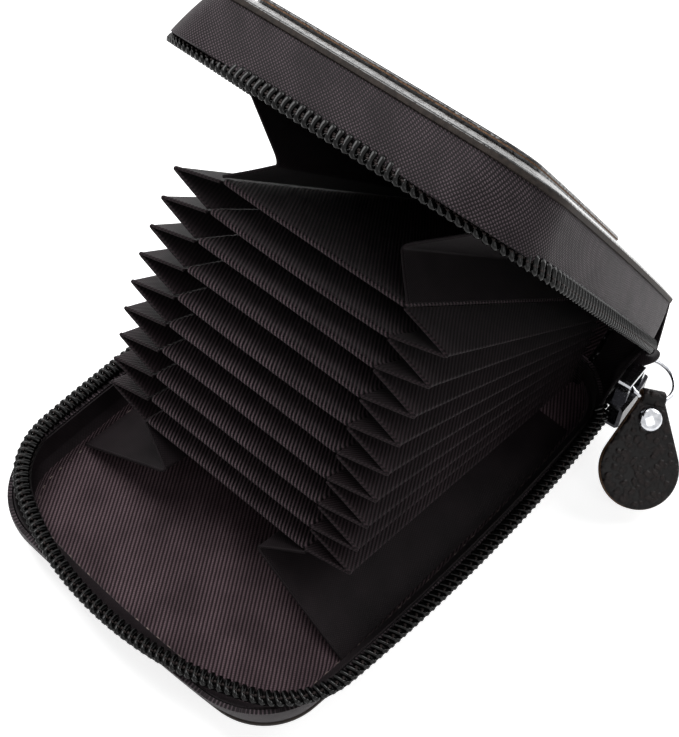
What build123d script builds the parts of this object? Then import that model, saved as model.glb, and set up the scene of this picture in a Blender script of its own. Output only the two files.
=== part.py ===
from build123d import *
from math import asin, atan2, cos, hypot, pi, radians, sin
import os

# Zip-around card case with a concertina of card pockets, standing open.
# Millimetres. X across the case, -Y is the mouth, +Y the spine, Z up, the underside at Z = 0.
# The base tray lies flat. The cover tray is modelled shut and then turned open about the fold.

# Overall sizes of the leather shell
case_length = 108.0
case_width = 74.4
case_height = 25.0
open_angle = 49.0

# Leather panels, their stiffeners and linings
leather_thickness = 1.4
leather_edge_round = 0.5
board_thickness = 0.8
board_inset = 2.6
lining_thickness = 0.5
lining_inset = 1.6
panel_corner_radius = 13.0
panel_side_radius = 600.0
panel_end_radius = 300.0

# Spine and its lower fold
spine_width = 54.0
spine_lining_width = 50.0
fold_gap = 0.2

# Woven side walls, from the leather edge up to the zip tape
band_thickness = 0.9
band_foot_inset = 0.3
band_belly = 1.1
band_belly_share = 0.5
band_top_flare = 2.0
band_front_shift = 1.1

# Zip tape and coil. The coil's centre line stands out past the leather edge all round.
tape_thickness = 0.5
tape_width = 3.6
coil_flare = 4.0
coil_front_shift = 2.4
coil_corner_radius = 18.0
coil_rear_corner_radius = 5.0
coil_side_radius = 400.0
coil_end_radius = 70.0
coil_width = 4.0
coil_thickness = 1.3
coil_cord_share = 0.42
coil_gap = 0.6
tooth_pitch = 1.5
tooth_share = 0.52
tooth_head_share = 0.6
teeth_per_cord_point = 3
rim_search_step = 0.4
rim_rear_gap = 0.8
cover_rim_cutback = 18.0

# Card pockets: dividers that fan out, joined by folded pleats at both sides
divider_count = 10
divider_width = 40.6
divider_length = 79.0
divider_thickness = 0.6
divider_corner_radius = 2.0
divider_rear_gap = 4.5
stack_clearance = 1.0
link_angle = 12.1
pleat_thickness = 0.32
pleat_width = 10.2
pleat_rear_width = 6.0
pleat_gap = 0.12
pleat_fold_gap = 0.34
sharpest_mitre_share = 0.3

# End gussets that join the stack to the two trays
gusset_fold_half_width = 11.5
gusset_fold_forward = 3.2
gusset_fold_drop = 4.6
top_fold_half_width = 13.2
top_fold_forward = -2.0
top_fold_drop = 7.5
gusset_hem_half_width = 34.2
gusset_hem_rise = 1.5
gusset_hem_forward = 4.5
gusset_length_share = 0.86
gusset_rear_thin_share = 0.5

# Slip pocket on the outside of the cover
pocket_inset = 7.0
pocket_length = 53.0
pocket_thickness = 1.3
pocket_seam = 3.5
pocket_slot = 0.45
pocket_edge_round = 0.35

# Slider, its bridge, the split ring and the leather pull
slider_length = 11.0
slider_tail_taper = 1.3
slider_outer_taper = 0.45
slider_wall = 0.75
slider_clearance = 0.3
slider_side_clearance = 0.4
slider_reach = 3.4
slider_rear_gap = 7.5
slider_turn = 4.6
slider_edge_round = 0.35
slider_chamfer = 0.7
bridge_width = 2.6
bridge_length = 7.0
bridge_height = 4.7
bridge_wire = 0.9
bridge_offset_y = 0.0
ring_radius = 4.9
ring_wire = 0.95
ring_wire_sides = 6
ring_hold_offset_y = -0.1
ring_hold_rise = 1.75
ring_turn = 31.0
ring_dip = 6.0
ring_roll = 11.0
pull_length = 24.0
pull_width = 16.2
pull_neck_width = 4.8
pull_layer = 1.1
pull_eye_radius = 1.8
pull_eye_rise = 0.5
pull_bore_radius = 0.7
pull_bore_flare_share = 0.62
pull_bore_beyond = 1.2
pull_bore_straight_share = 0.4
pull_turn = 111.5
pull_dip = 37.5
pull_plan_turn = 60.5
rivet_cap_radius = 2.5
rivet_post_radius = 1.0
rivet_cap_height = 1.3
rivet_crown_share = 0.62
rivet_shoulder_share = 0.78
rivet_from_ring = 3.7

# One overrun for every cut
cut_over = 5.0

# Levels and places that follow from the sizes above
half_width = case_width / 2
half_length = case_length / 2
mid_height = case_height / 2
fold_y = half_length
fold_z = leather_thickness / 2
panel_rear_y = fold_y - fold_z - fold_gap
slider_centre_y = half_length - slider_rear_gap
lining_top = leather_thickness + board_thickness + lining_thickness
coil_top = mid_height - coil_gap / 2
coil_bottom = coil_top - coil_thickness
tape_bottom = coil_bottom - tape_thickness
band_height = tape_bottom - leather_thickness
coil_half_width = half_width + coil_flare
divider_rear_y = fold_y - divider_rear_gap
stack_low = lining_top + stack_clearance
stack_high = case_height - lining_top - stack_clearance
divider_step = (stack_high - stack_low) / (divider_count - 1)
fan_step_angle = (open_angle - 2 * link_angle) / (divider_count - 1)


def corner_arc(half_x, half_y, corner, side_radius, end_radius):
    """Corner arc tangent to a bowed side and a bowed end: its centre and the turns of both joints."""
    side_x = half_x - side_radius
    end_y = half_y - end_radius
    reach_side = side_radius - corner
    reach_end = end_radius - corner
    # The corner's centre lies where circles about the side's and the end's centres meet.
    span = hypot(side_x, end_y)
    along = (reach_side**2 - reach_end**2 + span**2) / (2 * span)
    off = (reach_side**2 - along**2) ** 0.5
    unit_x = -side_x / span
    unit_y = end_y / span
    centre_x = side_x + along * unit_x - off * unit_y
    centre_y = along * unit_y + off * unit_x
    side_turn = atan2(centre_y, centre_x - side_x)
    end_turn = atan2(centre_y - end_y, centre_x)
    return centre_x, centre_y, side_turn, end_turn


def bowed_outline(half_x, front, rear, corners, side_radius, end_radius):
    """Closed outline of tangent arcs (centre x, centre y, radius, start, end), from the rear right.

    It has two bowed sides, two bowed ends, and its own corner radius at the front and at the rear.
    """
    front_corner, rear_corner = corners
    half_y = (front + rear) / 2
    middle = (rear - front) / 2
    side_x = half_x - side_radius
    end_y = half_y - end_radius
    x, y, side, end = corner_arc(half_x, half_y, front_corner, side_radius, end_radius)
    back_x, back_y, back_side, back_end = corner_arc(half_x, half_y, rear_corner, side_radius, end_radius)
    right_rear = (back_x, middle + back_y, rear_corner, back_end, back_side)
    right_side = (side_x, middle, side_radius, back_side, -side)
    right_front = (x, middle - y, front_corner, -side, -end)
    front_end = (0, middle - end_y, end_radius, -end, end - pi)
    left_front = (-x, middle - y, front_corner, end - pi, side - pi)
    left_side = (-side_x, middle, side_radius, side - pi, -back_side - pi)
    left_rear = (-back_x, middle + back_y, rear_corner, -back_side - pi, -back_end - pi)
    rear_end = (0, middle + end_y, end_radius, -back_end - pi, back_end - 2 * pi)
    return [right_rear, right_side, right_front, front_end, left_front, left_side, left_rear, rear_end]


def arc_point(arc, turn, grow=0.0):
    return (arc[0] + (arc[2] + grow) * cos(turn), arc[1] + (arc[2] + grow) * sin(turn))


def outline_face(plan, height, grow=0.0):
    """Plane face inside the outline at a height, grown outwards by a distance."""
    edges = []
    for arc in plan:
        points = [arc_point(arc, arc[3] + share * (arc[4] - arc[3]), grow) for share in (0, 0.5, 1)]
        edges.append(ThreePointArc(*[(x, y, height) for x, y in points]))
    return make_face(Wire(edges))


def panel_plan(inset=0.0):
    corner = panel_corner_radius - inset
    return bowed_outline(half_width - inset, half_length - inset, half_length - inset,
                         (corner, corner), panel_side_radius, panel_end_radius)


def coil_plan():
    front = half_length + coil_flare
    rear = half_length + coil_flare - 2 * coil_front_shift
    corners = (coil_corner_radius, coil_rear_corner_radius)
    return bowed_outline(coil_half_width, front, rear, corners, coil_side_radius, coil_end_radius)


def block(low, high):
    """Box between two corners."""
    size = [b - a for a, b in zip(low, high)]
    centre = [(a + b) / 2 for a, b in zip(low, high)]
    return Pos(*centre) * Box(*size)


def plate(face, thickness):
    return extrude(face, amount=thickness, dir=(0, 0, 1))


def rear_trim(limit_y, low, high):
    """Everything behind a straight line across the case."""
    reach = case_width + cut_over
    return block((-reach, limit_y, low), (reach, limit_y + case_length, high))


def leather_panel(bottom, outer_is_low):
    """Rounded leather panel with its outer rim eased and a straight rear edge at the spine."""
    solid = plate(outline_face(panel_plan(), bottom), leather_thickness)
    solid -= rear_trim(panel_rear_y, bottom - cut_over, bottom + leather_thickness + cut_over)
    side = solid.faces().sort_by(Axis.Z)[0 if outer_is_low else -1]
    return chamfer(side.edges(), leather_edge_round)


def inner_panel(inset, bottom, thickness):
    solid = plate(outline_face(panel_plan(inset), bottom), thickness)
    limit = panel_rear_y - inset
    return solid - rear_trim(limit, bottom - cut_over, bottom + thickness + cut_over)


def mirrored(shape):
    """The cover's twin of a base piece: mirrored about the case's middle height."""
    return mirror(shape, about=Plane.XY.offset(mid_height))


def opened(shape):
    """Turn a cover piece from shut to open about the fold at the spine's foot."""
    return shape.rotate(Axis((0, fold_y, fold_z), (1, 0, 0)), -open_angle)


def side_band():
    """Woven wall: rises from the leather edge, bellies out and meets the tape. Open at the spine."""
    levels = [leather_thickness, leather_thickness + band_belly_share * band_height, tape_bottom]
    flares = [-band_foot_inset, band_belly, band_top_flare]
    shifts = [0, band_front_shift * band_belly_share, band_front_shift]
    faces_out = []
    faces_in = []
    for level, flare, shift in zip(levels, flares, shifts):
        corner = panel_corner_radius + flare + shift
        plan = bowed_outline(half_width + flare, half_length + flare + shift,
                             half_length + flare - band_foot_inset - 2 * shift,
                             (corner, corner), panel_side_radius, panel_end_radius)
        faces_out.append(outline_face(plan, level))
        faces_in.append(outline_face(plan, level, -band_thickness))
    wall = loft(faces_out, ruled=True) - loft(faces_in, ruled=True)
    doorway = block((-spine_width / 2 - fold_gap, 0, -cut_over),
                    (spine_width / 2 + fold_gap, case_length, case_height))
    wall -= doorway
    return wall - rear_trim(panel_rear_y, -cut_over, case_height)


def rim_stretch(plan, inner, outer, bottom, thickness):
    """Flat strip that follows the rim between two distances from the coil's centre line."""
    strip = plate(outline_face(plan, bottom, outer) - outline_face(plan, bottom, inner), thickness)
    half = spine_width / 2 + rim_rear_gap
    strip -= block((-half, 0, -cut_over), (half, case_length, case_height))
    return strip - rear_trim(panel_rear_y, -cut_over, case_height)


def zip_tape():
    outer = coil_width / 2 - (1 - coil_cord_share) * coil_width * tooth_head_share
    return rim_stretch(coil_plan(), outer - tape_width, outer, tape_bottom, tape_thickness)


def rim_walk(plan):
    """Arcs of the rim with the length from the rear right end at which each one starts."""
    walk = []
    length = 0.0
    for arc in plan[:-1]:
        walk.append((length, arc))
        length += arc[2] * abs(arc[4] - arc[3])
    return walk, length


def rim_point(walk, distance, grow):
    start, arc = [entry for entry in walk if entry[0] <= distance][-1]
    way = -1 if arc[4] < arc[3] else 1
    return arc_point(arc, arc[3] + way * (distance - start) / arc[2], grow)


def zip_coil():
    """Half of the zip's coil: a cord along the rim with one tooth for each turn, pointing outwards."""
    plan = coil_plan()
    walk, length = rim_walk(plan)
    skip = spine_width / 2 + rim_rear_gap
    start = 0.0
    while abs(rim_point(walk, start, 0)[0]) < skip or rim_point(walk, start, 0)[1] > panel_rear_y:
        start += rim_search_step
    count = int((length - 2 * start) / tooth_pitch)
    first = (length - count * tooth_pitch) / 2
    root = -coil_width / 2 + coil_cord_share * coil_width
    tip = coil_width / 2
    outer = []
    for index in range(count):
        foot = first + index * tooth_pitch
        head = foot + tooth_share * tooth_pitch
        outer.append(rim_point(walk, foot, root))
        outer.append(rim_point(walk, foot, tip))
        outer.append(rim_point(walk, head, tip))
        outer.append(rim_point(walk, head, root))
    inner = [rim_point(walk, first + index * tooth_pitch, -tip) for index in range(0, count, teeth_per_cord_point)]
    inner.append(rim_point(walk, first + (count - 1 + tooth_share) * tooth_pitch, -tip))
    points = [(x, y, coil_bottom) for x, y in outer + inner[::-1]]
    return plate(make_face(Polyline(*points, close=True)), coil_thickness)


def cut_back(shape):
    """Leave out the cover rim's flange beside the slider's parking place."""
    limit = panel_rear_y - cover_rim_cutback
    return shape - block((0, limit, -cut_over), (case_width, case_length, case_height + cut_over))


def spine_panel():
    """Leather spine with a rolled foot on the fold and an eased upper edge."""
    half = spine_width / 2
    wall = block((-half, fold_y - fold_z, fold_z), (half, fold_y + fold_z, case_height))
    roll = Pos(0, fold_y, fold_z) * Rot(0, 90, 0) * Cylinder(fold_z, spine_width)
    wall += roll
    top = wall.edges().filter_by(Axis.X).sort_by(Axis.Z)[-2:]
    return fillet(top.sort_by(Axis.Y)[-1], leather_thickness - leather_edge_round)


def spine_lining():
    half = spine_lining_width / 2
    rear = fold_y - fold_z
    return block((-half, rear - lining_thickness, 2 * lining_top), (half, rear, case_height - 2 * lining_top))


def outer_pocket():
    """Slip pocket sewn on the cover at three sides, open towards the spine."""
    solid = plate(outline_face(panel_plan(pocket_inset), case_height), pocket_thickness)
    limit = -half_length + pocket_inset + pocket_length
    solid -= rear_trim(limit, case_height - cut_over, case_height + pocket_thickness + cut_over)
    top = solid.faces().sort_by(Axis.Z)[-1]
    solid = chamfer(top.edges(), pocket_edge_round)
    slot = plate(outline_face(panel_plan(pocket_inset + pocket_seam), case_height), pocket_slot)
    return solid - slot


def divider_places():
    """Rear edge (y, z) and slope of each divider, from the lowest up, in the open case."""
    places = []
    y = divider_rear_y
    z = stack_low
    slope = link_angle
    for index in range(divider_count):
        if index > 0:
            y += divider_step * sin(radians(slope))
            z += divider_step * cos(radians(slope))
            slope += fan_step_angle
        places.append((y, z, slope))
    return places


def divider_front(place):
    y, z, slope = place
    return (y - divider_length * cos(radians(slope)), z + divider_length * sin(radians(slope)))


def divider(place):
    """Flat card divider with rounded front corners, hinged along its rear edge."""
    y, z, slope = place
    half = divider_width / 2
    flat = block((-half, -divider_length, -divider_thickness / 2), (half, 0, divider_thickness / 2))
    front = flat.edges().filter_by(Axis.Z).sort_by(Axis.Y)[:2]
    flat = fillet(front, divider_corner_radius)
    return Pos(0, y, z) * (Rot(-slope, 0, 0) * flat)


def fold_section(points, thickness):
    """Corners of a thin plane strip along three points: one side out, the other side back."""
    a, b, c = [Vector(*point) for point in points]
    normal = (b - a).cross(c - b).normalized()
    across_ab = normal.cross((b - a).normalized())
    across_bc = normal.cross((c - b).normalized())
    half = thickness / 2
    bend = (across_ab + across_bc).normalized()
    stretch = half / max(bend.dot(across_ab), sharpest_mitre_share)
    return [a + across_ab * half, b + bend * stretch, c + across_bc * half,
            c - across_bc * half, b - bend * stretch, a - across_ab * half]


def flat_face(corners):
    return make_face(Polyline(*[tuple(corner) for corner in corners], close=True))


def folded_sheet(front, rear):
    """Solid between two strip sections, its long sides split into flat triangles."""
    faces = []
    for ends in (front, rear):
        faces.append(flat_face([ends[0], ends[1], ends[4], ends[5]]))
        faces.append(flat_face([ends[1], ends[2], ends[3], ends[4]]))
    # Both sides of the cloth are split along the same diagonal, so that its thickness stays even.
    count = len(front)
    for index in range(count):
        after = (index + 1) % count
        if index < count / 2:
            faces.append(flat_face([front[index], front[after], rear[after]]))
            faces.append(flat_face([front[index], rear[after], rear[index]]))
        else:
            faces.append(flat_face([front[index], front[after], rear[index]]))
            faces.append(flat_face([front[after], rear[after], rear[index]]))
    return Solid(Shell(faces))


def pleat(lower, upper, side):
    """Outward fold at one side of a card pocket, between two dividers' edges."""
    front = (divider_front(lower), divider_front(upper), pleat_width)
    rear = (lower[:2], upper[:2], pleat_rear_width)
    sections = []
    for low, high, width in (front, rear):
        rise = (high[0] - low[0], high[1] - low[1])
        length = hypot(*rise)
        unit = (rise[0] / length, rise[1] / length)
        root_x = side * (divider_width / 2 + pleat_gap)
        bottom = (root_x, low[0] + pleat_fold_gap * unit[0], low[1] + pleat_fold_gap * unit[1])
        top = (root_x, high[0] - pleat_fold_gap * unit[0], high[1] - pleat_fold_gap * unit[1])
        tip = (root_x + side * width, (low[0] + high[0]) / 2, (low[1] + high[1]) / 2)
        sections.append(fold_section([bottom, tip, top], pleat_thickness))
    return folded_sheet(*sections)


def end_gusset(side, place, fold):
    """Inward fold between the nearest divider and the tray's lining, as in the base.

    The fold is its half width, and how far it lies forward of the divider's front edge and below it.
    """
    fold_half_width, fold_forward, fold_drop = fold
    front = divider_front(place)
    drop = pleat_fold_gap + divider_thickness / 2
    root_x = side * (divider_width / 2 + pleat_gap)
    hem_x = side * gusset_hem_half_width
    fold_x = side * fold_half_width
    front_points = [(root_x, front[0], front[1] - drop),
                    (fold_x, front[0] - fold_forward, front[1] - fold_drop),
                    (hem_x, front[0] - gusset_hem_forward, lining_top + gusset_hem_rise)]
    reach = divider_length * (1 - gusset_length_share)
    slope = radians(place[2])
    rear_y = place[0] - reach * cos(slope)
    rear_z = place[1] + reach * sin(slope) - drop
    layer = pleat_thickness * gusset_rear_thin_share
    low_z = lining_top + layer
    rear_points = [(root_x, rear_y, rear_z),
                   (fold_x, rear_y, (rear_z + low_z) / 2),
                   (hem_x, rear_y, low_z)]
    return folded_sheet(fold_section(front_points, pleat_thickness), fold_section(rear_points, layer))


def base_gusset(side):
    fold = (gusset_fold_half_width, gusset_fold_forward, gusset_fold_drop)
    return end_gusset(side, divider_places()[0], fold)


def top_gusset(side):
    """The same fold between the highest divider and the cover's lining, made as in the base and turned."""
    y, z, slope = divider_places()[-1]
    turn = radians(open_angle)
    shut_y = fold_y + (y - fold_y) * cos(turn) - (z - fold_z) * sin(turn)
    shut_z = fold_z + (y - fold_y) * sin(turn) + (z - fold_z) * cos(turn)
    place = (shut_y, case_height - shut_z, open_angle - slope)
    fold = (top_fold_half_width, top_fold_forward, top_fold_drop)
    return opened(mirrored(end_gusset(side, place, fold)))


def slider_frame():
    """The slider's place: on the coil's centre line near the spine, turned along the side's bow."""
    side_x, middle, side_radius = coil_plan()[1][:3]
    x = side_x + (side_radius**2 - (slider_centre_y - middle) ** 2) ** 0.5
    return Pos(x, slider_centre_y, 0) * Rot(0, 0, slider_turn)


def slider_levels():
    low = tape_bottom - slider_clearance - slider_wall
    return low, case_height - low


def slider_body():
    """Two wings and an outer wall round the coil, wide at the nose and drawn in at the tail."""
    inner_x = coil_width / 2 + slider_side_clearance
    wing_x = inner_x - slider_reach
    outer_x = inner_x + slider_wall
    low, high = slider_levels()
    nose_y = -slider_length / 2
    tail_y = slider_length / 2
    outline = Polyline((wing_x, nose_y), (outer_x, nose_y), (outer_x, 0),
                       (outer_x - slider_outer_taper, tail_y),
                       (wing_x + slider_tail_taper, tail_y), (wing_x, 0), close=True)
    solid = plate(Pos(0, 0, low) * make_face(outline), high - low)
    solid = fillet(solid.edges().filter_by(Axis.Z), slider_edge_round)
    channel = block((wing_x - cut_over, nose_y - cut_over, low + slider_wall),
                    (inner_x, tail_y + cut_over, high - slider_wall))
    section = Polyline((wing_x, low), (outer_x - slider_chamfer, low), (outer_x, low + slider_chamfer),
                       (outer_x, high - slider_chamfer), (outer_x - slider_chamfer, high),
                       (wing_x, high), close=True)
    hull = extrude(Plane.XZ * make_face(section), amount=slider_length, both=True)
    return slider_frame() * ((solid - channel) & hull)


def bridge_x():
    """The bridge stands in the middle of the upper wing."""
    return coil_width / 2 + slider_side_clearance + (slider_wall - slider_reach) / 2


def slider_bridge():
    """Arch along the slider that holds the ring, open at both sides."""
    x = bridge_x()
    foot = slider_levels()[1]
    half = bridge_width / 2
    rear = bridge_offset_y + bridge_length / 2
    front = bridge_offset_y - bridge_length / 2
    arch = block((x - half, front, foot), (x + half, rear, foot + bridge_height))
    arch = fillet(arch.edges().filter_by(Axis.X).sort_by(Axis.Z)[-2:], bridge_wire)
    window = block((x - bridge_width, front + bridge_wire, foot - cut_over),
                   (x + bridge_width, rear - bridge_wire, foot + bridge_height - bridge_wire))
    return slider_frame() * (arch - window)


def ring_hold():
    """Where the ring's wire runs through the bridge."""
    height = slider_levels()[1] + ring_hold_rise
    return slider_frame() * Pos(bridge_x(), bridge_offset_y + ring_hold_offset_y, height)


def ring_axes():
    """The ring's way out from its hold, its normal, and the wire's run at the hold."""
    turn = radians(ring_turn)
    dip = radians(ring_dip)
    roll = radians(ring_roll)
    out = Vector(sin(turn) * cos(dip), cos(turn) * cos(dip), -sin(dip))
    side = Vector(cos(turn), -sin(turn), 0)
    normal = side.cross(out) * cos(roll) + side * sin(roll)
    return out, normal, normal.cross(out)


def pull_ring():
    out, normal, run = ring_axes()
    centre = ring_hold().position + out * ring_radius
    section = Pos(ring_radius, 0) * RegularPolygon(ring_wire / 2, ring_wire_sides)
    ring = revolve(Plane.XZ * section, Axis.Z)
    return Plane(origin=centre, x_dir=out, z_dir=normal).location * ring


def pull_frame():
    """The pull hangs where the ring is lowest: X along the ring's wire, -Y down the pull."""
    out, normal, run = ring_axes()
    turn = radians(pull_turn)
    centre = ring_hold().position + out * ring_radius
    spot = centre + (out * cos(turn) - run * sin(turn)) * ring_radius
    across = out * sin(turn) + run * cos(turn)
    slope = radians(pull_dip)
    plan = radians(pull_plan_turn)
    down = Vector(cos(slope) * cos(plan), -cos(slope) * sin(plan), -sin(slope))
    down = (down - across * down.dot(across)).normalized()
    return Plane(origin=spot, x_dir=across, z_dir=across.cross(down * -1))


def pull_outline():
    """Teardrop in the pull's own plane: a narrow neck at the ring, widening to a round end."""
    round_end = pull_width / 2
    neck = pull_neck_width / 2
    centre_y = -(pull_length - pull_eye_rise - pull_eye_radius - round_end)
    reach = asin((round_end - neck) / (pull_eye_rise - centre_y))
    tangent_x = round_end * cos(reach)
    tangent_y = centre_y + round_end * sin(reach)
    top = Line((neck, pull_eye_rise), (-neck, pull_eye_rise))
    left = Line((-neck, pull_eye_rise), (-tangent_x, tangent_y))
    end = ThreePointArc((-tangent_x, tangent_y), (0, centre_y - round_end), (tangent_x, tangent_y))
    right = Line((tangent_x, tangent_y), (neck, pull_eye_rise))
    return make_face(Wire([top, left, end, right]))


def pull_bore():
    """Way for the ring's wire through the eye, flared at both sides because the wire curves."""
    straight = pull_neck_width / 2 * pull_bore_straight_share
    flare_length = pull_neck_width / 2 + pull_bore_beyond - straight
    wide = pull_bore_radius + flare_length * pull_bore_flare_share
    bore = Cylinder(pull_bore_radius, pull_neck_width + cut_over)
    flare = Pos(0, 0, straight + flare_length / 2) * Cone(pull_bore_radius, wide, flare_length)
    return Rot(0, 90, 0) * (bore + flare + mirror(flare, about=Plane.XY))


def pull_leather():
    """Two layers of leather folded over the ring's wire, with the eye's bore and the rivet's hole."""
    body = extrude(pull_outline(), amount=pull_layer, both=True)
    body += Pos(0, pull_eye_rise, 0) * Rot(0, 90, 0) * Cylinder(pull_eye_radius, pull_neck_width)
    hole = Pos(0, -rivet_from_ring, 0) * Cylinder(rivet_post_radius, 2 * pull_layer + cut_over)
    return pull_frame().location * (body - pull_bore() - hole)


def pull_rivet():
    """Double-cap rivet: a domed cap on each face and the post between them, turned from one outline."""
    crown = pull_layer + rivet_cap_height
    shoulder = rivet_cap_radius * rivet_crown_share
    shoulder_z = pull_layer + rivet_cap_height * rivet_shoulder_share
    upper = [(0, crown), (shoulder, shoulder_z), (rivet_cap_radius, pull_layer), (rivet_post_radius, pull_layer)]
    lower = [(x, -z) for x, z in upper[::-1]]
    outline = Polyline(*[(x, 0, z) for x, z in upper + lower], close=True)
    rivet = revolve(make_face(outline), Axis.Z)
    return pull_frame().location * (Pos(0, -rivet_from_ring, 0) * rivet)


def base_tray():
    board_z = leather_thickness
    lining_z = board_z + board_thickness
    return {
        "leather_base": leather_panel(0, True),
        "board_base": inner_panel(board_inset, board_z, board_thickness),
        "lining_base": inner_panel(lining_inset, lining_z, lining_thickness),
        "band_base": side_band(),
        "tape_base": zip_tape(),
        "coil_base": zip_coil(),
    }


def cover_tray(tray):
    return {
        "leather_cover": opened(leather_panel(case_height - leather_thickness, False)),
        "leather_spine": opened(spine_panel()),
        "board_cover": opened(mirrored(tray["board_base"])),
        "lining_cover": opened(mirrored(tray["lining_base"])),
        "lining_spine": opened(spine_lining()),
        "band_cover": opened(mirrored(tray["band_base"])),
        "tape_cover": opened(mirrored(cut_back(tray["tape_base"]))),
        "coil_cover": opened(mirrored(cut_back(tray["coil_base"]))),
        "pocket_cover": opened(outer_pocket()),
    }


def card_stack():
    places = divider_places()
    pieces = {}
    for index, place in enumerate(places):
        number = divider_count - index
        pieces[f"divider_{number:02d}"] = divider(place)
    for index in range(divider_count - 1):
        number = divider_count - 1 - index
        for side, name in ((-1, "left"), (1, "right")):
            pieces[f"pleat_{name}_{number:02d}"] = pleat(places[index], places[index + 1], side)
    for side, name in ((-1, "left"), (1, "right")):
        pieces[f"gusset_base_{name}"] = base_gusset(side)
        pieces[f"gusset_cover_{name}"] = top_gusset(side)
    return pieces


def puller():
    return {
        "slider_body": slider_body(),
        "slider_bridge": slider_bridge(),
        "pull_ring": pull_ring(),
        "pull_leather": pull_leather(),
        "pull_rivet": pull_rivet(),
    }


def all_pieces():
    tray = base_tray()
    pieces = dict(tray)
    pieces.update(cover_tray(tray))
    pieces.update(card_stack())
    pieces.update(puller())
    return pieces


os.makedirs("parts", exist_ok=True)
for node, shape in all_pieces().items():
    export_step(shape, f"parts/{node}.step")
print("divider hinges, lowest first:")
for place in divider_places():
    print("  y %.3f z %.3f slope %.3f" % place)
print("slider", slider_frame().position, "turn", slider_turn)
print("ring hinge", ring_hold().position, "along", ring_axes()[2])
print("pull hinge", pull_frame().origin, "across", pull_frame().x_dir, "down", pull_frame().y_dir * -1)
print("divider step", divider_step, "fan step", fan_step_angle)
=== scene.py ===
import math
import bmesh
import bpy
import numpy as np
from mathutils import Matrix, Vector


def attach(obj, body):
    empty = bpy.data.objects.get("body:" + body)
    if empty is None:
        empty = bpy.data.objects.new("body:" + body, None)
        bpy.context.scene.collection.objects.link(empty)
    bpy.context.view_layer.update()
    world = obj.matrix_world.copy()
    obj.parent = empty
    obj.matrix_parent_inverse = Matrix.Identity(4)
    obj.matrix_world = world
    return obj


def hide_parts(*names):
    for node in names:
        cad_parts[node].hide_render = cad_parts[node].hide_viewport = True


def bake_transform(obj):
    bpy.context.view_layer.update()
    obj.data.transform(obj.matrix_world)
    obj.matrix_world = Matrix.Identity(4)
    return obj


# Zip-around card case standing open, dressed over its CAD frame. Sizes are in millimetres, meshes in metres.

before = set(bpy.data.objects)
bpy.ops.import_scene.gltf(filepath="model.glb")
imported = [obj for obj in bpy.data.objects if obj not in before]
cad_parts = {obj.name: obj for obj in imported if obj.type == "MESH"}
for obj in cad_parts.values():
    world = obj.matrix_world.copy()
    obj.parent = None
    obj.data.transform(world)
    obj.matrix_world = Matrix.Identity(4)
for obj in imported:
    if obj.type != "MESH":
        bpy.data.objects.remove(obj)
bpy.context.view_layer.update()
mm = 0.001
rng = np.random.default_rng(11)
print("frame loaded:", len(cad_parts), "nodes")


def addObject(name, data):
    thing = bpy.data.objects.new(name, data)
    bpy.context.collection.objects.link(thing)
    return thing


# The camera stands where the photograph was taken from
camera = {"place": (102.07, -124.40, 222.74), "right": (0.74160, 0.66900, 0.04974),
          "up": (-0.53935, 0.55050, 0.63722), "back": (0.39892, -0.49939, 0.76907), "lens": 66.09}
cameraData = bpy.data.cameras.new("camera")
cameraData.lens = camera["lens"]
cameraData.sensor_width = 36
cameraData.clip_start = 0.005
cameraObject = addObject("camera", cameraData)
axes = Matrix([camera["right"], camera["up"], camera["back"]]).transposed().to_4x4()
cameraObject.matrix_world = Matrix.Translation(Vector(camera["place"]) * mm) @ axes
bpy.context.scene.camera = cameraObject
print("camera placed")

shell = {"halfWidth": 37.2, "halfLength": 54.0, "height": 25.0, "corner": 13.0, "sideBow": 600.0,
         "endBow": 300.0, "leather": 1.4, "floor": 2.7, "wall": 9.0, "rearEdge": 53.1, "spineHalf": 27.0,
         "foldY": 54.0, "foldZ": 0.7, "openAngle": 49.0}
rim = {"halfWidth": 41.2, "front": 58.0, "rear": 53.2, "corners": (18.0, 5.0), "sideBow": 400.0,
       "endBow": 70.0, "gap": 27.8, "cutY": 35.1}
stack = {"count": 10, "halfWidth": 20.3, "length": 79.0, "thickness": 0.6, "rearY": 49.5, "lowZ": 3.7,
         "linkAngle": 12.1, "clearance": 1.0}


def rimArcs(halfX, front, rear, corners, sideBow, endBow):
    # Tangent arcs of an outline with bowed sides and ends: centre, radius, first and last turn.
    # A corner's centre lies where circles about the side's and the end's centres meet.
    halfY, middle = (front + rear) / 2, (rear - front) / 2
    sideX, endY = halfX - sideBow, halfY - endBow
    spots = []
    for corner in corners:
        reachSide, reachEnd = sideBow - corner, endBow - corner
        span = math.hypot(sideX, endY)
        along = (reachSide ** 2 - reachEnd ** 2 + span ** 2) / (2 * span)
        off = math.sqrt(reachSide ** 2 - along ** 2)
        x = sideX - along * sideX / span - off * endY / span
        y = along * endY / span - off * sideX / span
        spots.append((x, y, math.atan2(y, x - sideX), math.atan2(y - endY, x)))
    (fx, fy, fs, fe), (rx, ry, rs, re) = spots
    pi = math.pi
    return np.array([(rx, middle + ry, corners[1], re, rs), (sideX, middle, sideBow, rs, -fs),
                     (fx, middle - fy, corners[0], -fs, -fe), (0, middle - endY, endBow, -fe, fe - pi),
                     (-fx, middle - fy, corners[0], fe - pi, fs - pi),
                     (-sideX, middle, sideBow, fs - pi, -rs - pi),
                     (-rx, middle + ry, corners[1], -rs - pi, -re - pi),
                     (0, middle + endY, endBow, -re - pi, re - 2 * pi)])


def arcLengths(arcs):
    return arcs[:, 2] * np.abs(arcs[:, 4] - arcs[:, 3])


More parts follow.
